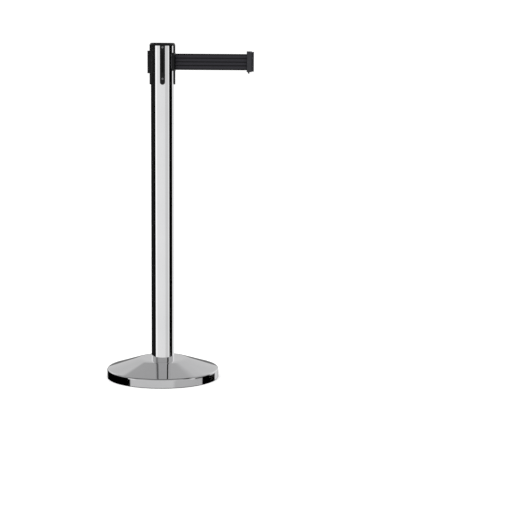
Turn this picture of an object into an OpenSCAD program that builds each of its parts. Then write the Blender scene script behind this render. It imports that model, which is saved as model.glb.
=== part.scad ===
// Retractable belt stanchion: weighted round base, polished tube and a four-way belt head.
// The origin is on the floor at the post's axis. +Z is up and the belt is drawn out along +X.

/* [Overall] */
// Height of the whole stanchion
height = 925; // [880:5:1120]
// Diameter of the base
base_d = 310; // [290:2:380]
// Outside diameter of the post
post_d = 63; // [60:0.1:78]
// Wall of the post
post_wall = 1.2; // [1:0.1:1.5]

/* [Base] */
// Height of the flat crown that the post stands on
crown_h = 54; // [43:1:64]
// Diameter of the flat crown
crown_d = 116; // [96:1:140]
// Radius of the blend from the crown to the cone
crown_blend = 55; // [40:1:66]
// Height of the cone's lower edge above the floor
rim_h = 26; // [22:1:31]
// Radius of the rounded shoulder above the rim
shoulder_r = 4; // [3:0.5:6]
// Thickness of the pressed cover
cover_t = 1.2; // [0.8:0.1:1.5]
// Height of the rubber that shows below the cover
rubber_h = 1.6; // [1:0.1:2.5]
// Thickness of the cast weight
weight_t = 16.5; // [13:0.5:17.5]
// Diameter of the bolt that ties the base to the post
bolt_d = 12; // [10:1:14]

/* [Belt] */
// Width of the belt
belt_w = 44; // [37:1:54]
// Thickness of the belt
belt_t = 0.6; // [0.5:0.05:0.7]
// Full length of the belt
belt_len = 2000; // [1600:50:2300]
// Length of belt that is drawn out at rest
belt_out = 193.5; // [100:0.5:400]

/* [Head] */
// Height of the top cap
cap_h = 8; // [7:0.5:10]
// How far the cap and the channels stand out from the post
proud = 3.6; // [2.8:0.05:4]
// Width of each channel
channel_w = 13.7; // [13:0.1:16]
// Thickness of the receiver block outside the channel
block_t = 5.6; // [5:0.1:7]
// Half of the width of the mouth piece
mouth_half = 17.8; // [15:0.1:21]
// Width of the belt end's grip
clip_t = 11; // [9:0.5:13]
// Length of the belt end's grip along the belt
clip_l = 13.6; // [11:0.1:17]

/* [Hidden] */
$fn = 96;

eps = 0.01;            // overshoot of a cut
slip = 0.15;           // gap between plastic pieces that push together
run = 0.05;            // radial gap of a shaft in its bush
part_gap = 0.3;        // gap between pieces that pass each other

// Base
base_r = base_d / 2;
crown_r = crown_d / 2;
cone_angle = cone_slope();
ring_in = base_r - 15;          // inner edge of the rubber ring
ring_flange = 3.5;              // rubber under the weight
ring_lip_h = 7;                 // rubber lip inside the cover
ring_lip_t = 3;
ring_inset = 0.4;               // rubber stands back from the rim
weight_gap = 2.8;               // between the weight and the lip
weight_r = base_r - cover_t - ring_lip_t - weight_gap;
weight_z0 = ring_flange;
weight_z1 = weight_z0 + weight_t;
hub_top_r = post_d / 2 + 1.5;
hub_low_r = hub_top_r + 12;
bolt_r = bolt_d / 2;
bolt_clear = 0.6;               // hole around the bolt's shank
bolt_well_r = bolt_r + 10.5;    // well that the bolt's head and washers sit in
bolt_head_h = bolt_d * 0.625;
bolt_head_z = weight_z0 + 0.3;
spring_washer_h = 2.5;
flat_washer_h = 2.2;
spring_washer_z = bolt_head_z + bolt_head_h;
flat_washer_z = spring_washer_z + spring_washer_h;
seat_z = flat_washer_z + flat_washer_h;
bolt_top_z = crown_h + 24;
plug_h = 28;
plug_floor = 8;
plug_wall = 4;
plug_boss = 7;                  // wall of the threaded boss

// Post and housing
post_r = post_d / 2;
tube_in_r = post_r - post_wall;
plug_r = tube_in_r - 0.1;
slot_w = channel_w + 2 * slip;
house_r = tube_in_r - 0.25;
house_wall = 2;
house_in_r = house_r - house_wall;
pad_x = sqrt(pow(house_r, 2) - pow(slot_w / 2, 2));

// Heights in the head, all measured down from the top
cap_z = height - cap_h;
lid_t = 3;
lid_z1 = height - 20;
lid_z0 = lid_z1 - lid_t;
belt_z1 = height - 29;
belt_z0 = belt_z1 - belt_w;
belt_gap = 0.5;                 // between the belt's edge and a flange
flange_t = 1.6;
flange_top_z = belt_z1 + belt_gap;
flange_low_z = belt_z0 - belt_gap - flange_t;
cover_plate_t = 2;
spring_cover_z = flange_low_z - 0.9 - cover_plate_t;
spring_h = 20;
channel_z0 = belt_z0 - 39.5;
floor_t = 3;
house_z0 = channel_z0 - 5;
floor_z1 = house_z0 + floor_t;
spring_z0 = floor_z1 + 6;
top_screw_z = height - 12;
low_screw_z = channel_z0 + 16;

// Spool and belt
spindle_r = 3;
arbor_r = 4;
hub_r = 8;
flange_r = house_in_r - 5.3;
bush_r = 4.5;
bush_flange_r = 6;
bush_flange_t = 1;
spindle_top_z = lid_z1 + 5;
ring_z = lid_z1 + bush_flange_t + 0.3;
ring_t = 0.8;
rolled_len = belt_len - belt_out - 30;
roll_r = sqrt(pow(hub_r, 2) + rolled_len * belt_t / PI);

// Belt brake
brake_turn = 45;
leaf_t = 0.3;
leaf_w = 7;
pad_r = 4;
pad_h = 2.5;
pad_z = flange_top_z + flange_t + 0.1;
rivet_r = 1.2;
rivet_x = 1.5 - flange_r;
pad_cx = rivet_x + 8.5;

// Guide rollers, and the path of the belt from the roll around the rear roller
roller_r = 2.4;
roller_pin_r = 0.8;
roller_y = roller_r + part_gap + belt_t / 2;
roller_x = pad_x - roller_r - 0.5;
roller_over = 0.8;              // roller beyond the belt's edge
lead_r = roll_r + part_gap + belt_t / 2;
wrap_r = roller_r + part_gap + belt_t / 2;
roller_dist = sqrt(pow(roller_x, 2) + pow(roller_y, 2));
lead_angle = atan2(roller_y, roller_x) - asin((lead_r + wrap_r) / roller_dist);

// Channels, receivers and mouth
channel_r = post_r + proud;
block_z0 = belt_z0 - 9.5;
block_floor = 3;
clip_h = belt_w + 12.5;
clip_z0 = belt_z0 - 5;
clip_z1 = clip_z0 + clip_h;
block_z1 = clip_z1;
block_x1 = channel_r + block_t;
tongue_t = 2.8;                 // the T's head, along the belt
tongue_w = 9.6;
neck_w = 4.2;
neck_l = 3;
tongue_gap = 0.3;               // free space on each side of the T's head
cavity_t = tongue_t + 2 * tongue_gap;
cavity_w = tongue_w + 2 * tongue_gap + 0.2;
throat_w = neck_w + 2 * tongue_gap + 0.4;
screw_r = 1.45;
screw_hole_r = 1.5;
screw_head_r = 2.8;
screw_head_h = 1.7;
screw_sink = 1.9;
rib_w = 9;
rib_x = flange_r - 0.5;
mouth_r = channel_r + 1;
mouth_slot_w = 3;
mouth_slot_over = 1;            // slot beyond the belt's edge

// Belt end
clip_x0 = mouth_r + belt_out;
pin_x = clip_x0 + 5.5;
pin_r = 1.5;
pin_head_r = 2.25;
pin_head_h = 4;

// Slope of the cone that runs from the shoulder to the crown, refined step by step
function cone_rise(a) = crown_h - crown_blend * (1 - cos(a)) - rim_h;
function cone_run(a) = base_d / 2 - shoulder_r + shoulder_r * sin(a)
    - crown_d / 2 - crown_blend * sin(a);
function cone_slope(a = 15, n = 6) =
    n == 0 ? a : cone_slope(atan2(cone_rise(a), cone_run(a)), n - 1);

// Points of an arc about c, from angle a0 to a1
function arc(c, r, a0, a1, n) =
    [for (i = [0:n]) c + r * [cos(a0 + (a1 - a0) * i / n), sin(a0 + (a1 - a0) * i / n)]];

// The cover's section at depth d below its outer surface
function cover_line(d) = let (
    cone = 90 - cone_angle,
    shoulder_c = [base_r - shoulder_r, rim_h - shoulder_r * cos(cone_angle)],
    crown_c = [crown_r, crown_h - crown_blend])
    concat(
        [[base_r - d, rubber_h]],
        arc(shoulder_c, shoulder_r - d, 0, cone, 12),
        arc(crown_c, crown_blend - d, cone, 90, 8));

// A strip of thickness t along the points of path p
function heading(p, i) = let (
    a = p[max(i - 1, 0)],
    b = p[min(i + 1, len(p) - 1)])
    (b - a) / norm(b - a);
function side(p, i, s) = p[i] + s * [-heading(p, i)[1], heading(p, i)[0]];
function strip(p, t) = concat(
    [for (i = [0:len(p) - 1]) side(p, i, t / 2)],
    [for (i = [len(p) - 1:-1:0]) side(p, i, -t / 2)]);

module ring(r_out, r_in, h) {
    difference() {
        cylinder(r = r_out, h = h);
        translate([0, 0, -1]) cylinder(r = r_in, h = h + 2);
    }
}

// Block with rounded upright edges, centred on the Y axis, from x0 to x1
module soft_block(x0, x1, w, r, z0, z1) {
    translate([0, 0, z0]) linear_extrude(z1 - z0) {
        translate([x0 + r, -w / 2]) square([x1 - x0 - 2 * r, w]);
        translate([x0, r - w / 2]) square([x1 - x0, w - 2 * r]);
        for (x = [x0 + r, x1 - r], y = [r - w / 2, w / 2 - r])
            translate([x, y]) circle(r = r, $fn = 32);
    }
}

// Cuboid from x0 to x1 and z0 to z1, centred on y = 0
module slab(x0, x1, w, z0, z1) {
    translate([x0, -w / 2, z0]) cube([x1 - x0, w, z1 - z0]);
}

// Rod along X from x0 to x1 at height z
module rod_x(r, x0, x1, z) {
    translate([x0, 0, z]) rotate([0, 90, 0]) cylinder(r = r, h = x1 - x0, $fn = 32);
}

// ---- Base ----

module floor_ring() {
    lip_r = base_r - cover_t - 0.2;
    edge_r = base_r - ring_inset;
    color([0.07, 0.07, 0.07]) rotate_extrude() polygon([
        [ring_in, 0], [edge_r, 0], [edge_r, rubber_h], [lip_r, rubber_h],
        [lip_r, ring_lip_h], [lip_r - ring_lip_t, ring_lip_h],
        [lip_r - ring_lip_t, ring_flange], [ring_in, ring_flange]]);
}

module base_weight() {
    edge = 2;
    hub_z = crown_h - cover_t;
    color([0.25, 0.25, 0.26]) difference() {
        rotate_extrude() polygon([
            [0, weight_z0], [weight_r - edge, weight_z0], [weight_r, weight_z0 + edge],
            [weight_r, weight_z1 - edge], [weight_r - edge, weight_z1],
            [hub_low_r, weight_z1], [hub_top_r, weight_z1 + 12], [hub_top_r, hub_z], [0, hub_z]]);
        translate([0, 0, weight_z0 - 1]) cylinder(r = bolt_r + bolt_clear, h = hub_z);
        translate([0, 0, weight_z0 - 1]) cylinder(r = bolt_well_r, h = seat_z - weight_z0 + 1);
    }
}

module base_cover() {
    inner = cover_line(cover_t);
    hole_r = bolt_r + bolt_clear;
    color([0.78, 0.78, 0.79]) rotate_extrude($fn = 180) polygon(concat(
        cover_line(0),
        [[hole_r, crown_h], [hole_r, crown_h - cover_t]],
        [for (i = [len(inner) - 1:-1:0]) inner[i]]));
}

module base_bolt() {
    color([0.6, 0.6, 0.62]) {
        translate([0, 0, bolt_head_z]) cylinder(r = bolt_d * 0.866, h = bolt_head_h, $fn = 6);
        translate([0, 0, spring_washer_z - 1])
            cylinder(r = bolt_r - run, h = bolt_top_z - spring_washer_z + 1);
    }
}

module lock_washer() {
    color([0.5, 0.5, 0.52]) translate([0, 0, spring_washer_z]) difference() {
        ring(bolt_r + 4, bolt_r + 0.2, spring_washer_h);
        slab(bolt_r - 1, bolt_r + 5, 1, -1, spring_washer_h + 1);
    }
}

module base_washer() {
    color([0.65, 0.65, 0.67]) translate([0, 0, flat_washer_z])
        ring(bolt_r + 9, bolt_r + 0.3, flat_washer_h);
}

module foot_plug() {
    color([0.55, 0.56, 0.58]) translate([0, 0, crown_h]) difference() {
        cylinder(r = plug_r, h = plug_h);
        translate([0, 0, -1]) cylinder(r = bolt_r, h = plug_h + 2);
        translate([0, 0, plug_floor]) difference() {
            cylinder(r = plug_r - plug_wall, h = plug_h);
            translate([0, 0, -1]) cylinder(r = bolt_r + plug_boss, h = plug_h + 2);
        }
    }
}

// ---- Post ----

module post_tube() {
    slot_c = channel_z0 + channel_w / 2;
    color([0.82, 0.82, 0.83]) difference() {
        translate([0, 0, crown_h]) ring(post_r, tube_in_r, cap_z - crown_h);
        for (a = [0:90:270]) rotate([0, 0, a]) {
            slab(0.8 * tube_in_r, post_r + 1, slot_w, slot_c, cap_z + 1);
            translate([0.8 * tube_in_r, 0, slot_c]) rotate([0, 90, 0])
                cylinder(d = slot_w, h = post_r, $fn = 64);
        }
    }
}

// ---- Cassette ----

module cassette_housing() {
    ledge_z = flange_top_z + flange_t + 1.9;
    window_z0 = flange_low_z - 0.8;
    window_z1 = flange_top_z + flange_t + 1.4;
    hook_z = lid_z1 + 3.7;
    color([0.12, 0.12, 0.13]) difference() {
        intersection() {
            translate([0, 0, house_z0]) cylinder(r = house_r, h = cap_z - slip - house_z0);
            translate([-pad_x, -pad_x, house_z0]) cube([2 * pad_x, 2 * pad_x, height]);
        }
        difference() {
            translate([0, 0, floor_z1]) cylinder(r = house_in_r, h = height);
            for (a = [0:90:270]) rotate([0, 0, a]) {
                slab(rib_x, post_r, rib_w, floor_z1 - 1, spring_cover_z);
                slab(rib_x + 1.5, post_r, rib_w, ledge_z, lid_z0);
            }
        }
        slab(0.7 * house_in_r, post_r, 2 * roller_y + 6.4, window_z0, window_z1);
        translate([0, 0, house_z0 - 1]) cylinder(r = bush_r, h = floor_t + 2);
        for (a = [0:90:270]) rotate([0, 0, a]) {
            rod_x(screw_hole_r, rib_x - 1, post_r, low_screw_z);
            rod_x(screw_hole_r + 0.2, rib_x - 1, post_r, top_screw_z);
            rotate([0, 0, 45]) slab(0.7 * house_in_r, post_r, 9, hook_z, hook_z + 3);
        }
    }
}

module housing_lid() {
    lid_r = house_in_r - slip;
    boss_h = top_screw_z + 3 - lid_z1;
    color([0.14, 0.14, 0.15]) difference() {
        union() {
            translate([0, 0, lid_z0]) cylinder(r = lid_r, h = lid_t);
            intersection() {
                translate([0, 0, lid_z0]) cylinder(r = lid_r, h = lid_t + boss_h);
                for (a = [0:90:270]) rotate([0, 0, a])
                    slab(lid_r - 8, post_r, rib_w, lid_z0, lid_z1 + boss_h);
            }
        }
        translate([0, 0, lid_z0 - 1]) cylinder(r = bush_r, h = lid_t + 2);
        rotate([0, 0, brake_turn]) translate([rivet_x, 0, lid_z0 - 1])
            cylinder(r = rivet_r + 0.1, h = lid_t + 2, $fn = 32);
        for (a = [0:90:270]) rotate([0, 0, a])
            rod_x(screw_hole_r, lid_r - 9, post_r, top_screw_z);
    }
}

module spring_cover() {
    color([0.3, 0.3, 0.32]) translate([0, 0, spring_cover_z])
        ring(house_in_r - slip, arbor_r + 0.6, cover_plate_t);
}

module main_spring() {
    turns = 7;
    steps = 24;
    strip_t = 0.3;
    r0 = arbor_r + part_gap + strip_t;
    r1 = rib_x - 1.2;
    tail_y = rib_w / 2 + 0.3;
    last = 360 * turns + 180 - asin(tail_y / r1);
    path = [for (i = [0:turns * steps])
        let (a = last * i / (turns * steps), r = r0 + (r1 - r0) * i / (turns * steps))
        r * [cos(a), sin(a)]];
    end_x = sqrt(pow(r1, 2) - pow(tail_y, 2));
    color([0.5, 0.52, 0.56]) translate([0, 0, spring_z0]) {
        linear_extrude(spring_h) polygon(strip(path, strip_t));
        translate([-rib_x - 3, tail_y - strip_t / 2, 0])
            cube([rib_x + 3.2 - end_x, strip_t, spring_h]);
    }
}

module spindle() {
    slot = 0.6;
    color([0.7, 0.7, 0.72]) difference() {
        union() {
            translate([0, 0, house_z0 - 0.5]) cylinder(r = spindle_r - run,
                h = spindle_top_z - house_z0 + 0.5);
            translate([0, 0, floor_z1 + bush_flange_t + 0.3])
                cylinder(r = arbor_r, h = flange_low_z - floor_z1 - bush_flange_t - 0.3);
        }
        slab(0, arbor_r + 1, slot, spring_z0 - 0.5, spring_z0 + spring_h + 0.5);
        translate([0, 0, ring_z]) ring(spindle_r + 1, spindle_r - 0.6, ring_t + 0.1);
    }
}

// Flanged bush, its body below z = 0 and its flange above
module bush(body_h) {
    color([0.72, 0.55, 0.3]) difference() {
        union() {
            translate([0, 0, -body_h]) cylinder(r = bush_r - run, h = body_h + eps);
            cylinder(r = bush_flange_r, h = bush_flange_t);
        }
        translate([0, 0, -body_h - 1]) cylinder(r = spindle_r, h = body_h + 4);
    }
}

module lower_bush() {
    translate([0, 0, floor_z1]) bush(floor_t);
}

module upper_bush() {
    translate([0, 0, lid_z1]) bush(lid_t);
}

module spindle_clip() {
    groove_r = spindle_r - 0.6;
    color([0.35, 0.35, 0.37]) translate([0, 0, ring_z + 0.05]) difference() {
        cylinder(r = spindle_r + 2.2, h = ring_t);
        translate([0, 0, -1]) cylinder(r = groove_r, h = ring_t + 2);
        slab(0, spindle_r + 3, 2 * groove_r - 0.8, -1, ring_t + 1);
    }
}

module spool() {
    top_z = flange_top_z;
    color([0.85, 0.85, 0.82]) difference() {
        union() {
            translate([0, 0, flange_low_z]) cylinder(r = flange_r, h = flange_t);
            translate([0, 0, flange_low_z]) cylinder(r = hub_r, h = top_z - flange_low_z);
            translate([0, 0, top_z - 1]) cylinder(r = hub_r - 2, h = flange_t + 1);
        }
        translate([0, 0, flange_low_z - 1]) cylinder(r = spindle_r, h = height);
        translate([hub_r - 0.9, 0, flange_low_z + flange_t]) cylinder(r = 1.05, h = height, $fn = 32);
    }
}

module spool_flange() {
    color([0.8, 0.8, 0.77]) translate([0, 0, flange_top_z]) ring(flange_r, hub_r - 1.9, flange_t);
}

module anchor_pin() {
    color([0.6, 0.6, 0.62]) translate([hub_r - 0.9, 0, flange_low_z + flange_t + 0.05])
        cylinder(r = 1, h = flange_top_z - flange_low_z - flange_t - 0.1, $fn = 32);
}

module belt_roll() {
    color([0.14, 0.14, 0.16]) translate([0, 0, belt_z0]) ring(roll_r, hub_r + 0.15, belt_w);
}

module belt_lead() {
    off_roll = lead_r * [-sin(lead_angle), cos(lead_angle)];
    path = concat([off_roll],
        arc([roller_x, roller_y], wrap_r, lead_angle - 90, -90, 8));
    color([0.14, 0.14, 0.16]) translate([0, 0, belt_z0])
        linear_extrude(belt_w) polygon(strip(path, belt_t));
}

module belt_span() {
    loop_in = pin_r + 0.05;
    loop_out = loop_in + belt_t;
    color([0.14, 0.14, 0.16]) {
        slab(roller_x + 0.1, pin_x - loop_in - belt_t / 2, belt_t, belt_z0, belt_z1);
        translate([pin_x, 0, belt_z0]) ring(loop_out, loop_in, belt_w);
    }
}

// Roller on the side s of the belt, with its bore along Z
module guide_roller(s) {
    over = roller_over;
    color([0.75, 0.76, 0.78]) translate([roller_x, s * roller_y, belt_z0 - over])
        ring(roller_r, roller_pin_r + run, belt_w + 2 * over, $fn = 48);
}

module guide_roller_front() {
    guide_roller(-1);
}

module guide_roller_rear() {
    guide_roller(1);
}

module roller_pins() {
    low = flange_low_z - 0.5;
    high = flange_top_z + flange_t + 1.1;
    color([0.6, 0.6, 0.62]) for (s = [-1, 1])
        translate([roller_x, s * roller_y, low]) cylinder(r = roller_pin_r, h = high - low, $fn = 32);
}

// ---- Belt brake, between two bosses of the lid ----

module brake_pad() {
    color([0.55, 0.5, 0.42]) rotate([0, 0, brake_turn]) translate([pad_cx, 0, pad_z])
        cylinder(r = pad_r, h = pad_h, $fn = 48);
}

module brake_leaf() {
    root_z = lid_z0 - leaf_t / 2;
    tip_z = pad_z + pad_h + leaf_t / 2 + run;
    path = [[rivet_x - 2, root_z], [rivet_x + 2, root_z],
        [pad_cx - pad_r + 0.5, tip_z], [pad_cx + pad_r, tip_z]];
    color([0.6, 0.62, 0.65]) rotate([0, 0, brake_turn]) difference() {
        translate([0, leaf_w / 2, 0]) rotate([90, 0, 0])
            linear_extrude(leaf_w) polygon(strip(path, leaf_t));
        translate([rivet_x, 0, root_z - 3]) cylinder(r = rivet_r + 0.1, h = 6, $fn = 32);
    }
}

module brake_rivet() {
    head_h = 0.5;
    under_z = lid_z0 - leaf_t - head_h;
    color([0.6, 0.6, 0.62]) rotate([0, 0, brake_turn]) translate([rivet_x, 0, 0]) {
        translate([0, 0, under_z]) cylinder(r = rivet_r, h = lid_z1 + head_h - under_z, $fn = 32);
        for (z = [under_z, lid_z1])
            translate([0, 0, z]) cylinder(r = rivet_r + 0.8, h = head_h, $fn = 32);
    }
}

// ---- Channels ----

// Upright strip that fills one slot of the tube, with its two screw holes, on the +X side
module channel_strip() {
    x0 = pad_x + 0.02;
    z_round = channel_z0 + channel_w / 2;
    difference() {
        intersection() {
            translate([0, 0, channel_z0]) cylinder(r = channel_r, h = cap_z - eps - channel_z0);
            union() {
                slab(x0, post_d, channel_w, z_round, height);
                translate([x0, 0, z_round]) rotate([0, 90, 0]) cylinder(d = channel_w, h = post_d);
            }
        }
        for (z = [low_screw_z, top_screw_z]) {
            rod_x(screw_hole_r + 0.2, 0, post_d, z);
            rod_x(screw_head_r + 0.2, channel_r - screw_sink, post_d, z);
        }
    }
}

module receiver() {
    color([0.09, 0.09, 0.1]) difference() {
        union() {
            channel_strip();
            soft_block(channel_r - 1.5, block_x1, channel_w, 1.4, block_z0, block_z1);
        }
        slab(channel_r, channel_r + cavity_t, cavity_w, block_z0 + block_floor, block_z1 + 1);
        slab(channel_r, block_x1 + 1, throat_w, block_z0 + block_floor, block_z1 + 1);
    }
}

module channel_front() {
    rotate([0, 0, -90]) receiver();
}

module channel_left() {
    rotate([0, 0, 180]) receiver();
}

module channel_rear() {
    rotate([0, 0, 90]) receiver();
}

module belt_mouth() {
    slot_z0 = belt_z0 - mouth_slot_over;
    slot_z1 = belt_z1 + mouth_slot_over;
    frame_h = 1.5;
    ear_t = 1.7;
    color([0.09, 0.09, 0.1]) difference() {
        union() {
            channel_strip();
            intersection() {
                translate([0, 0, slot_z0 - frame_h])
                    ring(mouth_r, post_r + 0.2, slot_z1 - slot_z0 + 2 * frame_h);
                slab(0, post_d, 2 * mouth_half, 0, height);
            }
            for (z = [flange_low_z - 0.6, flange_top_z + flange_t - 1])
                slab(roller_x - roller_r + 0.3, pad_x + 1, 2 * roller_y + 5.2, z, z + ear_t);
        }
        slab(0, post_d, mouth_slot_w, slot_z0, slot_z1);
        for (s = [-1, 1]) translate([roller_x, s * roller_y, 0])
            cylinder(r = roller_pin_r + 0.02, h = height, $fn = 32);
    }
}

module channel_screws() {
    head_x = channel_r - screw_sink;
    tip = rib_x + 1;
    color([0.7, 0.7, 0.72]) for (a = [0:90:270], z = [low_screw_z, top_screw_z])
        rotate([0, 0, a]) difference() {
            union() {
                rod_x(screw_r, tip, head_x + 0.5, z);
                rod_x(screw_head_r, head_x, head_x + screw_head_h, z);
            }
            slab(head_x + screw_head_h - 0.9, post_d, 0.8, z - 1.7, z + 1.7);
            slab(head_x + screw_head_h - 0.9, post_d, 3.4, z - 0.4, z + 0.4);
        }
}

module top_cap() {
    edge_r = cap_h - 1.5;
    leg_r = house_in_r - slip;
    leg_z0 = lid_z1 + 2.5;
    hook_z = lid_z1 + 4;
    color([0.08, 0.08, 0.09]) {
        rotate_extrude() polygon(concat(
            [[0, cap_z], [channel_r, cap_z]],
            arc([channel_r - edge_r, height - edge_r], edge_r, 0, 90, 12),
            [[0, height]]));
        for (a = [45:90:315]) rotate([0, 0, a]) intersection() {
            union() {
                translate([0, 0, leg_z0]) ring(leg_r, leg_r - 2, cap_z - leg_z0 + 1);
                translate([0, 0, hook_z]) ring(leg_r + 1, leg_r - 2, 2);
            }
            slab(0, post_r, 8, leg_z0, cap_z + 1);
        }
    }
}

// ---- Belt end ----

module belt_clip() {
    body_x1 = clip_x0 + clip_l;
    tongue_x = body_x1 + neck_l;
    inset = 1.5;
    pocket_r = pin_r + belt_t + 0.25;
    color([0.2, 0.2, 0.21]) difference() {
        union() {
            soft_block(clip_x0, body_x1, clip_t, 2, clip_z0, clip_z1);
            slab(body_x1 - 1, tongue_x + 1, neck_w, clip_z0 + inset, clip_z1 - inset);
            translate([tongue_x, 0, 0]) rotate([90, 0, 90]) linear_extrude(tongue_t) polygon([
                [-tongue_w / 2, clip_z0 + inset + 3], [-tongue_w / 2 + 2, clip_z0 + inset],
                [tongue_w / 2 - 2, clip_z0 + inset], [tongue_w / 2, clip_z0 + inset + 3],
                [tongue_w / 2, clip_z1 - inset], [-tongue_w / 2, clip_z1 - inset]]);
        }
        slab(clip_x0 - 1, pin_x, 3 * belt_t, belt_z0 - 0.5, belt_z1 + 0.5);
        translate([pin_x, 0, belt_z0 - 0.5]) cylinder(r = pocket_r, h = belt_w + 1, $fn = 48);
        translate([pin_x, 0, clip_z0 - 1]) cylinder(r = pin_r + run, h = clip_h - 1, $fn = 48);
    }
}

module belt_pin() {
    color([0.3, 0.3, 0.31]) translate([pin_x, 0, 0]) {
        translate([0, 0, clip_z0 - 1]) cylinder(r = pin_r, h = clip_h - 2, $fn = 48);
        translate([0, 0, clip_z0 - pin_head_h]) cylinder(r = pin_head_r, h = pin_head_h, $fn = 48);
    }
}

floor_ring();
base_weight();
base_cover();
base_bolt();
base_washer();
lock_washer();
foot_plug();
post_tube();
cassette_housing();
housing_lid();
spring_cover();
main_spring();
spindle();
lower_bush();
upper_bush();
spindle_clip();
spool();
spool_flange();
anchor_pin();
belt_roll();
belt_lead();
belt_span();
guide_roller_front();
guide_roller_rear();
roller_pins();
brake_pad();
brake_leaf();
brake_rivet();
channel_front();
channel_left();
channel_rear();
belt_mouth();
channel_screws();
top_cap();
belt_clip();
belt_pin();
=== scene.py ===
# %% [markdown]
# # A retractable belt stanchion
#
# This is the post that makes a queue: a heavy round base, a polished tube, and a black head
# with a spring-wound belt. The head has four upright channels. The belt comes out of one, and
# the other three take the belt ends of neighbouring posts. The frame holds every piece at its
# true place, in metres, so each cell below only gives one piece its final surface and finish.

# %% Load the frame
import math

import bmesh
import bpy
import numpy as np
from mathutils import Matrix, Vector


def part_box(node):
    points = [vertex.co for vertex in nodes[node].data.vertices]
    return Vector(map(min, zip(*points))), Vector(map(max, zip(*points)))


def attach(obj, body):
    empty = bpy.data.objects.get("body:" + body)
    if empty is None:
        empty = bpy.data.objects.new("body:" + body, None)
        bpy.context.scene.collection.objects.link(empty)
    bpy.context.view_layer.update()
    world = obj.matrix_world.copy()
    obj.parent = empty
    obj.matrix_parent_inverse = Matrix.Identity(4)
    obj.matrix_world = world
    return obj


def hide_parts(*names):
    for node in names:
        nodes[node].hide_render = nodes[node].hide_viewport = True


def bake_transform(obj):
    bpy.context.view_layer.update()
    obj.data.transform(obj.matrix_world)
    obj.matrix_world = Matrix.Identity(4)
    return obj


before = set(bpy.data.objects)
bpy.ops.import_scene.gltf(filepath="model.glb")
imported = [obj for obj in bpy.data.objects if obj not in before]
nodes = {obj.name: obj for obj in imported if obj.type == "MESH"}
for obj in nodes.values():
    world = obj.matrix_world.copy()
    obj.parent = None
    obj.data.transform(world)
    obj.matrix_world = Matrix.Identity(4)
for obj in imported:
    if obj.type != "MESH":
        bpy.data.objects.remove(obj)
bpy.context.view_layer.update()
MM = 0.001
MICRON = 0.000001

# %% [markdown]
# ## From numbers to a mesh
#
# Every new surface is a grid of points worked out at once as a numpy array. The two helpers
# here turn such a grid into a mesh: one lists the four corners of each cell, the other merges
# the points that meet at seams and poles, turns the faces outwards and marks the true edges
# as sharp, so that a curve shades smoothly right up to the edge.


# %% Mesh helpers
def grid_faces(rows, columns, closed_rows=False, closed_columns=False):
    """Corner numbers of each cell: i, i + 1 along a row and the same two in the next row."""
    r = np.arange(rows if closed_rows else rows - 1)[:, None]
    c = np.arange(columns if closed_columns else columns - 1)[None, :]
    r2, c2 = (r + 1) % rows, (c + 1) % columns
    corners = [r * columns + c, r * columns + c2, r2 * columns + c2, r2 * columns + c]
    return np.stack([np.broadcast_to(x, (len(r), c.shape[1])) for x in corners], -1).reshape(-1, 4)


def clean(bm, wall=0.0, sharp=30.0):
    """Merges doubles, turns faces outwards, adds a wall, and marks edges bent past sharp."""
    bmesh.ops.remove_doubles(bm, verts=bm.verts, dist=1e-7)
    bmesh.ops.recalc_face_normals(bm, faces=bm.faces)
    if wall:
        bmesh.ops.solidify(bm, geom=bm.faces[:], thickness=wall)
    for face in bm.faces:
        face.smooth = True
    for edge in bm.edges:
        edge.smooth = edge.calc_face_angle(0.0) < math.radians(sharp)


def piece(name, points, faces, body, material, wall=0.0, sharp=30.0):
    """A finished piece from an array of points and a list of faces, riding on a body."""
    mesh = bpy.data.meshes.new(name)
    mesh.from_pydata(np.asarray(points, float).reshape(-1, 3).tolist(), [], [list(f) for f in faces])
    return finished(name, mesh, body, material, wall, sharp)


def finished(name, mesh, body, material, wall=0.0, sharp=30.0):
    """Cleans the mesh, links it as an object at the origin and gives it its material."""
    bm = bmesh.new()
    bm.from_mesh(mesh)
    clean(bm, wall, sharp)
    bm.to_mesh(mesh)
    bm.free()
    obj = bpy.data.objects.new(name, mesh)
    bpy.context.scene.collection.objects.link(obj)
    mesh.materials.append(material)
    if body:
        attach(obj, body)
    print(name, len(mesh.polygons), "faces")
    return obj


def arc(centre, radius, start, end, steps):
    """Points at equal angles on a circle: centre + radius (cos a, sin a), a in degrees."""
    a = np.radians(np.linspace(start, end, steps + 1))
    return np.asarray(centre) + radius * np.stack([np.cos(a), np.sin(a)], -1)


def lathe(name, profile, body, material, turns=192, sharp=30.0):
    """The closed profile (r, z) carried round the Z axis: x = r cos a, y = r sin a."""
    profile = np.asarray(profile)
    a = np.linspace(0, 2 * np.pi, turns, endpoint=False)[:, None]
    r, z = profile[None, :, 0], profile[None, :, 1]
    points = np.stack([r * np.cos(a), r * np.sin(a), z + 0 * a], -1)
    return piece(name, points, grid_faces(turns, len(profile), True, True), body, material, sharp=sharp)


# %% [markdown]
# ## Finishes
#
# A finish is more than a colour. Polished steel carries faint polishing lines and patches that
# are a little duller, moulded plastic has a fine grain and scuffs, and webbing has its weave.
# Each is made from noise and wave textures on Object coordinates, which are the piece's own
# metres, so the grain keeps its true size on every piece. A noise's scale is the number of its
# lumps in a metre.


# %% Material helpers
def add_node(tree, kind, inputs, **settings):
    """A new shader node: an input given as a socket is joined, any other value is set."""
    made = tree.nodes.new("ShaderNode" + kind)
    for key, value in settings.items():
        setattr(made, key, value)
    for key, value in inputs.items():
        if isinstance(value, bpy.types.NodeSocket):
            tree.links.new(value, made.inputs[key])
        else:
            made.inputs[key].default_value = value
    return made


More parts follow.
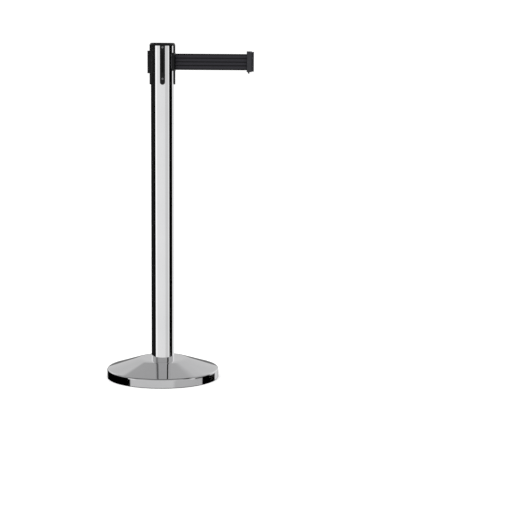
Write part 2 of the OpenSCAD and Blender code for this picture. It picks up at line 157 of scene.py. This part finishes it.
class Finish:
    """A material under construction, with short ways to add and join its nodes."""

    def __init__(self, name, color, metallic=0.0, roughness=0.5):
        self.material = bpy.data.materials.new(name)
        self.material.use_nodes = True
        self.tree = self.material.node_tree
        self.shader = self.tree.nodes["Principled BSDF"]
        self.shader.inputs["Base Color"].default_value = (*color, 1)
        self.shader.inputs["Metallic"].default_value = metallic
        self.shader.inputs["Roughness"].default_value = roughness
        self.coords = self.tree.nodes.new("ShaderNodeTexCoord").outputs["Object"]

    def node(self, kind, inputs, **settings):
        """A node in this material."""
        return add_node(self.tree, kind, inputs, **settings)

    def scaled(self, x, y, z):
        """Coordinates times x, y and z, which squeezes a pattern along the larger factor."""
        return self.node("Mapping", {"Vector": self.coords, "Scale": (x, y, z)}).outputs[0]

    def noise(self, scale, detail=3.0, vector=None, rough=0.5):
        """Cloudy noise in 0 to 1; detail adds octaves, and rough is how strong they stay."""
        inputs = {"Vector": vector or self.coords, "Scale": scale, "Detail": detail, "Roughness": rough}
        return self.node("TexNoise", inputs).outputs[0]

    def ramp(self, value, low, high, to_low=0.0, to_high=1.0):
        """Value from low to high becomes to_low to to_high, and no further."""
        inputs = {0: value, 1: low, 2: high, 3: to_low, 4: to_high}
        return self.node("MapRange", inputs).outputs[0]

    def math(self, operation, a, b=0.0):
        """One sum or product of two numbers."""
        return self.node("Math", {0: a, 1: b}, operation=operation).outputs[0]

    def tint(self, amount, dark, light):
        """Base colour that goes from dark to light with amount."""
        mix = self.node("Mix", {0: amount, 6: (*dark, 1), 7: (*light, 1)}, data_type="RGBA")
        self.tree.links.new(mix.outputs[2], self.shader.inputs["Base Color"])

    def roughness(self, value):
        """Roughness that varies over the surface: 0 is a mirror and 1 is chalk."""
        self.tree.links.new(value, self.shader.inputs["Roughness"])

    def bump(self, height, distance, strength=1.0):
        """Height in 0 to 1 stands up by distance, in metres."""
        inputs = {"Height": height, "Distance": distance, "Strength": strength}
        normal = self.node("Bump", inputs).outputs[0]
        self.tree.links.new(normal, self.shader.inputs["Normal"])


# %% [markdown]
# Polished stainless steel is a mirror with very fine lines left by the buffing wheel. The
# lines run round the tube and round the base, so the noise that makes them is squeezed along Z.
# They only spread the reflection by a hair, and wide soft patches change the gloss a little.


# %% Metals
def polished_steel(name, bright):
    """A near mirror that reflects the share bright of the light."""
    f = Finish(name, (bright, bright, bright), metallic=1.0, roughness=0.06)
    patches = f.noise(9.0, detail=4.0)
    lines = f.noise(60.0, detail=2.0, vector=f.scaled(1.0, 1.0, 40.0))
    mixed = f.math("ADD", f.math("MULTIPLY", patches, 0.7), f.math("MULTIPLY", lines, 0.3))
    f.roughness(f.ramp(mixed, 0.3, 0.7, 0.025, 0.06))
    dull, clear = bright - 0.02, bright + 0.02
    f.tint(f.ramp(patches, 0.3, 0.7), (dull, dull, dull + 0.01), (clear, clear, clear + 0.01))
    f.bump(lines, 0.4 * MICRON)
    return f.material


def plated_steel(name, dark, light, low=0.25, high=0.42):
    """Plated or bare small metal: cloudy plating, tiny pits and a brushed grain."""
    f = Finish(name, light, metallic=1.0, roughness=low)
    cloud = f.noise(220.0, detail=5.0)
    grain = f.noise(900.0, detail=2.0, vector=f.scaled(1.0, 1.0, 0.15))
    f.tint(f.ramp(cloud, 0.35, 0.65), dark, light)
    f.roughness(f.ramp(cloud, 0.3, 0.7, low, high))
    f.bump(grain, 4 * MICRON)
    return f.material


def cast_iron():
    """Black paint over a sand casting: slow lumps with fine sand grain on top."""
    f = Finish("cast_iron", (0.03, 0.03, 0.032), roughness=0.6)
    lumps = f.noise(120.0, detail=6.0)
    sand = f.noise(1400.0, detail=3.0)
    f.tint(f.ramp(lumps, 0.35, 0.7), (0.018, 0.018, 0.02), (0.05, 0.05, 0.052))
    f.roughness(f.ramp(sand, 0.3, 0.7, 0.5, 0.75))
    f.bump(f.math("ADD", lumps, f.math("MULTIPLY", sand, 0.3)), 400 * MICRON)
    return f.material


# %% [markdown]
# The black mouldings have the fine even grain of a spark-eroded mould. Where hands and belt
# ends rub, the grain is polished away, so a slower noise lowers the roughness in patches and a
# few pale scuffs show where a third noise peaks.


# %% Plastics, rubber and felt
def moulded(name, color, scuff, low=0.3, high=0.48, grain=12 * MICRON, gloss=0.22):
    """Plastic or rubber of a colour, with paler scuffs; low and high bound its roughness."""
    f = Finish(name, color, roughness=high)
    erosion = f.noise(2600.0, detail=2.0)
    rubbed = f.noise(55.0, detail=3.0)
    scuffs = f.noise(38.0, detail=8.0, rough=0.7)
    f.tint(f.ramp(scuffs, 0.58, 0.74), color, scuff)
    f.roughness(f.ramp(rubbed, 0.35, 0.65, low, high))
    f.bump(erosion, grain)
    f.shader.inputs["Specular IOR Level"].default_value = gloss
    return f.material


def felt():
    """Pressed wool: one fine, rough noise is both the colour and the height of the fibres."""
    f = Finish("felt", (0.35, 0.31, 0.26), roughness=0.95)
    fibres = f.noise(900.0, detail=6.0, rough=0.8)
    f.tint(fibres, (0.22, 0.19, 0.16), (0.45, 0.41, 0.35))
    f.bump(fibres, 300 * MICRON)
    return f.material


# %% [markdown]
# The belt is woven polyester. Its ribs are real geometry, made further down, but they are too
# shallow to shade much, so the finish paints their shade: the colour goes nearly black in the
# lines between the ribs, and it is nearly black in the selvages too. The finish also adds what is
# smaller than a rib: weft threads across the belt about 0.9 mm apart and warp threads along it
# about 0.5 mm apart, which cross as two sine waves, with painted shade a little darker where they
# dip. A place across the belt is t, which runs from -1 at the lower edge to 1 at the upper edge.

# %% Webbing
WEFT = 0.9 * MM
WARP = 0.52 * MM
RIBS = 4
SELVAGE = 0.1
belt_low, belt_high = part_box("belt_span")
belt_w = belt_high.z - belt_low.z
belt_mid = (belt_high.z + belt_low.z) / 2


def webbing():
    """Painted shade = rib wave, times 0 in the selvages, times a little darker between threads."""
    f = Finish("webbing", (0.03, 0.03, 0.035), roughness=0.8)
    split = f.node("SeparateXYZ", {0: f.coords})
    across = f.math("SINE", f.math("MULTIPLY", split.outputs[0], 2 * math.pi / WEFT))
    along = f.math("SINE", f.math("MULTIPLY", split.outputs[2], 2 * math.pi / WARP))
    threads = f.ramp(f.math("MULTIPLY", across, along), -1.0, 1.0)
    fibre = f.noise(2200.0, detail=3.0)
    height = f.math("ADD", f.math("MULTIPLY", threads, 0.8), f.math("MULTIPLY", fibre, 0.2))
    t = f.ramp(split.outputs[2], belt_mid - belt_w / 2, belt_mid + belt_w / 2, -1.0, 1.0)
    phase = f.math("MULTIPLY", f.math("DIVIDE", t, 1 - SELVAGE), math.pi * RIBS / 2)
    # Painted shade: the colour darkens from each rib's crest down into the lines between the ribs.
    painted_rib_shade = f.ramp(f.math("ABSOLUTE", f.math("SINE", phase)), 0.0, 0.75)
    inside = f.ramp(f.math("ABSOLUTE", t), 1 - SELVAGE, 1 - SELVAGE - 0.03)
    # All the painted shade in one: ribs, near-black selvages and darker gaps between threads.
    painted_shade = f.math("MULTIPLY", f.math("MULTIPLY", painted_rib_shade, inside), f.ramp(height, 0, 1, 0.7, 1.0))
    f.tint(painted_shade, (0.0015, 0.0015, 0.002), (0.025, 0.024, 0.029))
    f.roughness(f.ramp(fibre, 0.3, 0.7, 0.62, 0.85))
    f.bump(height, 80 * MICRON)
    f.shader.inputs["Specular IOR Level"].default_value = 0.14
    return f.material


# %% Make the finishes once
STEEL = polished_steel("polished_tube_steel", 0.93)
# The cover is the tube's polished steel in a darker copy: painted shade for the dimmer reflections it
# gets low down by the floor.
SHADED_COVER_STEEL = polished_steel("shaded_cover_steel", 0.66)
ZINC = plated_steel("zinc_plate", (0.42, 0.42, 0.44), (0.66, 0.66, 0.68))
DARK_STEEL = plated_steel("black_oxide_steel", (0.05, 0.05, 0.052), (0.11, 0.11, 0.115), 0.3, 0.45)
SCREW_STEEL = plated_steel("passivated_steel", (0.16, 0.16, 0.165), (0.30, 0.30, 0.31), 0.2, 0.35)
SPRING = plated_steel("spring_steel", (0.16, 0.18, 0.24), (0.34, 0.36, 0.42), 0.2, 0.35)
BRONZE = plated_steel("sintered_bronze", (0.36, 0.24, 0.10), (0.56, 0.40, 0.18), 0.35, 0.55)
IRON = cast_iron()
BLACK = moulded("black_moulding", (0.004, 0.004, 0.0045), (0.014, 0.014, 0.015))
GREY = moulded("grey_moulding", (0.021, 0.021, 0.025), (0.038, 0.038, 0.043), 0.34, 0.5, gloss=0.3)
NATURAL = moulded("natural_moulding", (0.62, 0.62, 0.58), (0.50, 0.49, 0.45), 0.3, 0.42)
RUBBER = moulded("rubber", (0.009, 0.009, 0.009), (0.022, 0.021, 0.020), 0.6, 0.8, 30 * MICRON)
FELT = felt()
WEBBING = webbing()
print(len(bpy.data.materials), "materials")

# %% [markdown]
# ## Inner pieces
#
# The spool, spring, bushes and bolts are hidden in use, and of the belt's pin only the nib
# shows. Their frame shapes are right as they are, so they stay and only take a finish.

# %% Finish the pieces that stay
KEPT = {
    IRON: ["base_weight"],
    ZINC: ["base_bolt", "base_washer", "lock_washer", "foot_plug", "spindle", "anchor_pin",
           "roller_pins", "brake_rivet"],
    DARK_STEEL: ["belt_pin"],
    SPRING: ["main_spring", "spindle_clip", "brake_leaf"],
    BRONZE: ["lower_bush", "upper_bush"],
    BLACK: ["cassette_housing", "housing_lid", "spring_cover"],
    NATURAL: ["spool", "spool_flange", "guide_roller_front", "guide_roller_rear"],
    FELT: ["brake_pad"],
    WEBBING: ["belt_roll", "belt_lead"],
}
for material, names in KEPT.items():
    for name in names:
        nodes[name].data.materials.clear()
        nodes[name].data.materials.append(material)
print("kept", sum(len(names) for names in KEPT.values()), "frame pieces")

# %% [markdown]
# ## The base cover
#
# The cover is one pressed sheet: an upright rim, a tight rounded shoulder, a shallow cone and a
# flat crown under the post. Turned metal is a profile carried round an axis, so it is a lathe.
# The cone's slope is not free: it is the line that touches both the shoulder's arc and the
# crown's arc, and a few rounds of correction find it.

# %% Cover profile
cover_low, cover_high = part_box("base_cover")
base_r = cover_high.x
crown_z = cover_high.z
crown_r = 58 * MM
crown_bend = 55 * MM
rim_z = 26 * MM
shoulder_r = 4 * MM
cover_t = 1.2 * MM
bolt_hole_r = 6.6 * MM


def cone_slope():
    """Angle a where the line's rise over its run between the two arcs is tan a."""
    a = math.radians(15)
    for _ in range(6):
        rise = crown_z - crown_bend * (1 - math.cos(a)) - rim_z
        run = base_r - shoulder_r + shoulder_r * math.sin(a) - crown_r - crown_bend * math.sin(a)
        a = math.atan2(rise, run)
    return math.degrees(a)


SLOPE = cone_slope()


def cover_line(depth):
    """The section at a depth below the outer surface: rim, shoulder arc, cone, crown arc."""
    shoulder = (base_r - shoulder_r, rim_z - shoulder_r * math.cos(math.radians(SLOPE)))
    crown = (crown_r, crown_z - crown_bend)
    turned = arc(shoulder, shoulder_r - depth, 0, 90 - SLOPE, 24)
    flat = arc(crown, crown_bend - depth, 90 - SLOPE, 90, 24)
    cone = turned[-1] + np.linspace(0, 1, 12)[1:-1, None] * (flat[0] - turned[-1])
    rim = np.stack([np.full(5, base_r - depth), np.linspace(cover_low.z, turned[0, 1], 6)[:-1]], -1)
    return np.concatenate([rim, turned, cone, flat, [[bolt_hole_r, crown_z - depth]]])


print("the cone rises at", round(SLOPE, 1), "degrees")

# %% Spin the cover
cover_profile = np.concatenate([cover_line(0), cover_line(cover_t)[::-1]])
cover = lathe("pressed_cover", cover_profile, "post", SHADED_COVER_STEEL, turns=288)
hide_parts("base_cover")

# %% [markdown]
# The rubber ring under the rim protects the floor. It has a lip inside the cover and a flange
# under the weight, and its outer edge shows as a thin dark line. Its corners are softened by
# cutting each one with a short arc.


# %% Rubber ring
def rounded(points, radius, steps=4):
    """Each corner becomes an arc: its two tangent points joined by a curve through the middle."""
    p = np.asarray(points, float)
    before, after = np.roll(p, 1, 0) - p, np.roll(p, -1, 0) - p
    lb, la = np.linalg.norm(before, axis=1), np.linalg.norm(after, axis=1)
    cut = np.minimum(radius, 0.45 * np.minimum(lb, la))[:, None]
    a, b = p + before / lb[:, None] * cut, p + after / la[:, None] * cut
    t = np.linspace(0, 1, steps + 1)[None, :, None]
    curve = (1 - t) ** 2 * a[:, None] + 2 * t * (1 - t) * p[:, None] + t**2 * b[:, None]
    return curve.reshape(-1, 2)


ring_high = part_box("floor_ring")[1]
ring_edge = ring_high.x
rubber_h = cover_low.z
lip_r = base_r - cover_t - 0.2 * MM
lip_t = 3 * MM
flange_h = 3.5 * MM
ring_in = base_r - 15 * MM
ring_profile = [
    (ring_in, 0), (ring_edge, 0), (ring_edge, rubber_h), (lip_r, rubber_h), (lip_r, ring_high.z),
    (lip_r - lip_t, ring_high.z), (lip_r - lip_t, flange_h), (ring_in, flange_h)]
ring = lathe("rubber_ring", rounded(ring_profile, 0.5 * MM), "post", RUBBER, turns=192)
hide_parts("floor_ring")

# %% [markdown]
# ## The post
#
# The tube is cut by four slots, open at the top and round at the bottom, that the channels sit
# in. A grid can follow those slots without any cutting: the wall is four panels, and at each
# height a panel's two sides stand back from the slot's centre by the slot's half width there.
# That half width is zero below the slots, so lower down the panels meet and merge.

# %% Slotted tube
tube_low, tube_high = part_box("post_tube")
post_r = tube_high.x
wall = 1.2 * MM
channel_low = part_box("channel_front")[0].z
channel_half = 6.85 * MM
slot_half = channel_half + 0.15 * MM
slot_low = channel_low + channel_half - slot_half


def slotted_tube(columns=48):
    """x, y = R cos a, R sin a, with a from one slot's side to the next slot's side."""
    below = np.linspace(tube_low.z, slot_low, 60)[:-1]
    bend = np.linspace(0, np.pi / 2, 25)
    in_bend = slot_low + slot_half * (1 - np.cos(bend))
    above = np.linspace(in_bend[-1], tube_high.z, 16)[1:]
    z = np.concatenate([below, in_bend, above])
    half = np.concatenate([0 * below, slot_half * np.sin(bend), 0 * above + slot_half])
    back = np.arcsin(half / post_r)[:, None]
    u = np.linspace(0, 1, columns + 1)[None, :]
    points, faces = [], []
    for quarter in range(4):
        a = quarter * np.pi / 2 + back + u * (np.pi / 2 - 2 * back)
        sheet = np.stack([post_r * np.cos(a), post_r * np.sin(a), z[:, None] + 0 * a], -1)
        faces.append(grid_faces(len(z), columns + 1) + quarter * sheet[..., 0].size)
        points.append(sheet.reshape(-1, 3))
    return np.concatenate(points), np.concatenate(faces)


tube_points, tube_faces = slotted_tube()
tube = piece("polished_tube", tube_points, tube_faces, "post", STEEL, wall=wall)
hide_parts("post_tube")

# %% [markdown]
# ## The head
#
# The cap, the channels, the mouth, the screws and the belt's grip already have their exact
# slots, recesses and holes in the frame, but their edges are knife sharp. A moulding has a small
# radius on every edge, which catches the light. So a copy of the frame's mesh is merged and its
# sharp edges are bevelled.


# %% Mouldings from the frame
def softened(name, node, body, material, width, segments=2, sharp=32.0):
    """A merged copy of a frame mesh whose edges bent past sharp become narrow rounds."""
    mesh = nodes[node].data.copy()
    bm = bmesh.new()
    bm.from_mesh(mesh)
    bmesh.ops.remove_doubles(bm, verts=bm.verts, dist=1e-6)
    bmesh.ops.dissolve_limit(bm, angle_limit=math.radians(0.5), verts=bm.verts, edges=bm.edges)
    edges = [e for e in bm.edges if e.calc_face_angle(0.0) > math.radians(sharp)]
    bmesh.ops.bevel(bm, geom=edges, offset=width, segments=segments, profile=0.5,
                    affect="EDGES", clamp_overlap=True)
    bm.to_mesh(mesh)
    bm.free()
    mesh.materials.clear()
    made = finished(name, mesh, body, material, sharp=40.0)
    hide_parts(node)
    return made


cap = softened("round_cap", "top_cap", "post", BLACK, 0.3 * MM)
for side in ("front", "left", "rear"):
    receiver = softened(f"receiver_{side}", f"channel_{side}", "post", BLACK, 0.25 * MM)
mouth = softened("mouth_piece", "belt_mouth", "post", BLACK, 0.25 * MM)
screws = softened("screw_set", "channel_screws", "post", SCREW_STEEL, 0.12 * MM)

# %% [markdown]
# ## The belt
#
# The webbing is a flat weave with four broad raised ribs between thinner lines, and firm
# selvages along both edges. Its section is a closed curve: half its thickness is the product of
# a rounded edge and a rib wave. The section is drawn once in the head and once in the grip, and
# straight threads join the two.

# %% Belt section and surface
belt_t = 0.6 * MM
GROOVE = 0.62
RIB_END = 0.02
RIB_FULLNESS = 0.35
EDGE_ROUND = 0.015
pin_x = (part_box("belt_pin")[0].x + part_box("belt_pin")[1].x) / 2
pin_gap = 1.5 * MM


def half_thickness(t):
    """Half of belt_t times (groove share + rib share x |sin|^fullness) x a circular edge."""
    inside = np.clip((1 - SELVAGE - np.abs(t)) / RIB_END, 0, 1)
    phase = t / (1 - SELVAGE) * RIBS / 2
    crown = np.abs(np.sin(np.pi * phase)) ** RIB_FULLNESS
    past = ((np.abs(t) - (1 - EDGE_ROUND)) / EDGE_ROUND).clip(0, 1)
    edge = np.sqrt(np.clip(1 - past**2, 0, 1))
    return belt_t / 2 * (GROOVE + (1 - GROOVE) * crown * inside) * edge


def belt_surface(x_start, x_end, steps=1, across=240):
    """y = half thickness on one face and its negative on the other, z = middle + t w / 2.

    Stations in t are the mean of even steps and a sine, which crowds them at the two edges.
    """
    t = np.sin(np.linspace(-np.pi / 2, np.pi / 2, across))
    t = 0.5 * t + 0.5 * np.linspace(-1, 1, across)
    y = half_thickness(t)
    loop_y = np.concatenate([y, -y[::-1]])
    loop_z = np.concatenate([t, t[::-1]]) * belt_w / 2 + belt_mid
    x = np.linspace(x_start, x_end, steps + 1)[:, None]
    points = np.stack([x + 0 * loop_y, loop_y + 0 * x, loop_z + 0 * x], -1)
    faces = grid_faces(steps + 1, len(loop_y), closed_columns=True).tolist()
    ends = [list(range(len(loop_y)))[::-1], [steps * len(loop_y) + i for i in range(len(loop_y))]]
    return points, faces + ends


belt_start = belt_low.x
belt_end = pin_x - pin_gap
belt_points, belt_faces = belt_surface(belt_start, belt_end)
belt = piece("ribbed_belt", belt_points, belt_faces, None, WEBBING, sharp=50.0)
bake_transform(belt)
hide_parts("belt_span")

# %% Belt end grip
grip = softened("belt_grip", "belt_clip", "belt_end", GREY, 0.6 * MM, segments=3)

# %% [markdown]
# ## Floor, light and camera
#
# The floor is a wide sheet of pale paper that glows a little of its own, a painted light, so the shadow
# stays faint.

# %% Floor
reach = 14.0
floor_mesh = bpy.data.meshes.new("floor")
floor_corners = [(-reach, -reach, 0), (reach, -reach, 0), (reach, reach, 0), (-reach, reach, 0)]
floor_mesh.from_pydata(floor_corners, [], [(0, 1, 2, 3)])
floor = bpy.data.objects.new("floor", floor_mesh)
bpy.context.scene.collection.objects.link(floor)
paper = Finish("glowing_white_paper", (0.92, 0.92, 0.92), roughness=0.9)
paper.tint(paper.noise(3.0), (0.91, 0.91, 0.91), (0.93, 0.93, 0.93))
# Painted light: the paper's own glow keeps the shadow under the base faint.
paper.shader.inputs["Emission Color"].default_value = (1, 1, 1, 1)
paper.shader.inputs["Emission Strength"].default_value = 0.2
floor_mesh.materials.append(paper.material)
floor.visible_glossy = False

# %% [markdown]
# Polished metal shows its surroundings and little else, so the look of the tube is made by the
# world around it: broad white and grey panels with black flags between them, as they hang in a
# studio for shiny goods. Those panels are only for reflections. Everything else is lit by an
# even white sky.
#
# Each row of panels reaches from one rise above the horizon to the next. A row is its rise, how
# softly it starts, and its stops of compass angle and brightness. Angle 0 lies towards the
# camera, and positive angles lie towards the belt. In order, the rows are what the rim, the
# post, the shoulder, the cone's sides, the cone's front and again its front see. The last one
# lies straight above.

# %% World
ROWS = [
    (-1.00, 0.003, [(-180, 0.33), (-164, 0.33), (-160, 0.0), (-72, 0.0), (-70, 0.74), (20, 0.76),
                    (26, 0.60), (88, 0.60), (90, 0.0), (135, 0.0), (138, 0.85), (160, 0.7),
                    (166, 0.33)]),
    (-0.206, 0.002, [(-180, 0.2), (-171, 0.2), (-166, 0.01), (-94, 0.01), (-90, 0.0), (-77, 0.0),
                      (-75, 1.0), (-62, 1.0), (-56, 0.78), (24, 0.76), (30, 0.62), (56, 0.62),
                      (60, 0.86), (68, 0.84), (71, 0.0), (112, 0.0), (115, 0.82), (164, 0.8),
                      (171, 0.2)]),
    (0.09, 0.003, [(-180, 0.69), (-166, 0.69), (-160, 1.3), (-115, 1.3), (-105, 0.5), (105, 0.5),
                   (115, 1.3), (160, 1.3), (166, 0.69)]),
    (0.165, 0.01, [(-180, 0.69), (-166, 0.69), (-160, 0.95), (-128, 0.95), (-120, 0.5), (-84, 0.5),
                   (-75, 0.25), (-56, 0.25), (-48, 0.43), (42, 0.43), (46, 0.0), (58, 0.0),
                   (62, 0.5), (120, 0.5), (128, 0.95), (160, 0.95), (166, 0.69)]),
    (0.575, 0.02, [(-180, 0.49), (-112, 0.49), (-100, 0.16), (-74, 0.16), (-60, 0.5), (58, 0.5),
                   (61, 0.0), (80, 0.0), (84, 0.5), (110, 0.66), (180, 0.69)]),
    (0.66, 0.03, [(-180, 0.49), (-112, 0.49), (-100, 0.16), (-74, 0.16), (-60, 0.5), (58, 0.5),
                  (61, 0.0), (80, 0.0), (84, 0.53), (180, 0.53)]),
    (0.86, 0.003, [(-180, 0.12), (0, 0.12)]),
]


def studio_world():
    """One colour ramp by compass angle for each row, and each row mixed in above its rise."""
    world = bpy.data.worlds.new("studio")
    world.use_nodes = True
    bpy.context.scene.world = world
    tree = world.node_tree
    tree.nodes.clear()

    def node(kind, inputs, **settings):
        return add_node(tree, kind, inputs, **settings)

    way = node("SeparateXYZ", {0: node("TexCoord", {}).outputs["Generated"]}).outputs
    back = node("Math", {0: way[1], 1: -1.0}, operation="MULTIPLY").outputs[0]
    angle = node("Math", {0: way[0], 1: back}, operation="ARCTAN2").outputs[0]
    share = node("MapRange", {0: angle, 1: -math.pi, 2: math.pi}).outputs[0]
    shown = None
    for rise, soft, stops in ROWS:
        ramp = node("ValToRGB", {0: share})
        for i, (degrees, level) in enumerate(stops):
            place = (degrees + 180) / 360
            stop = ramp.color_ramp.elements[i] if i < 2 else ramp.color_ramp.elements.new(place)
            stop.position, stop.color = place, (level, level, level, 1)
        if shown is None:
            shown = ramp.outputs[0]
            continue
        above = node("MapRange", {0: way[2], 1: rise - soft, 2: rise + soft}).outputs[0]
        shown = node("Mix", {0: above, 6: shown, 7: ramp.outputs[0]}, data_type="RGBA").outputs[2]
    path = node("LightPath", {})
    lit = node("Mix", {0: path.outputs["Is Glossy Ray"], 6: (1.1, 1.1, 1.1, 1), 7: shown},
               data_type="RGBA").outputs[2]
    sky = node("Background", {0: lit})
    node("OutputWorld", {0: sky.outputs[0]})


studio_world()

# %% [markdown]
# Two large soft lamps add some direction: the key from the left and the fill from the right.


# %% Lamps
def soft_lamp(name, place, target, size, power):
    """A square area lamp at place that faces target; it lights but shows in no reflection."""
    lamp = bpy.data.lights.new(name, "AREA")
    lamp.shape, lamp.size, lamp.energy = "SQUARE", size, power
    obj = bpy.data.objects.new(name, lamp)
    bpy.context.scene.collection.objects.link(obj)
    obj.location = place
    away = np.asarray(place) - np.asarray(target)
    obj.rotation_euler = Vector(away).to_track_quat("Z", "Y").to_euler()
    obj.visible_glossy = False
    return obj


soft_lamp("key_lamp", (-1.6, -2.2, 2.6), (0, 0, 0.6), 1.6, 25)
soft_lamp("fill_lamp", (2.4, -1.8, 1.8), (0, 0, 0.6), 1.8, 10)

# %% [markdown]
# The camera stands 4.2 metres in front, level with the top of the post, and looks slightly down
# and towards the belt's side, through a long lens.

# %% Camera
CAMERA_AT = (-0.001, -4.187, 0.926)
PITCH = 8.14
YAW = 3.74
ROLL = 0.43
camera_data = bpy.data.cameras.new("camera")
camera_data.lens = 105.07
camera = bpy.data.objects.new("camera", camera_data)
bpy.context.scene.collection.objects.link(camera)
camera.location = CAMERA_AT
turn = Matrix.Rotation(math.radians(-YAW), 4, "Z")
tilt = Matrix.Rotation(math.radians(90 - PITCH), 4, "X")
roll = Matrix.Rotation(math.radians(ROLL), 4, "Z")
camera.matrix_world = Matrix.Translation(CAMERA_AT) @ turn @ tilt @ roll
bpy.context.scene.camera = camera
bpy.context.scene.view_settings.view_transform = "Standard"
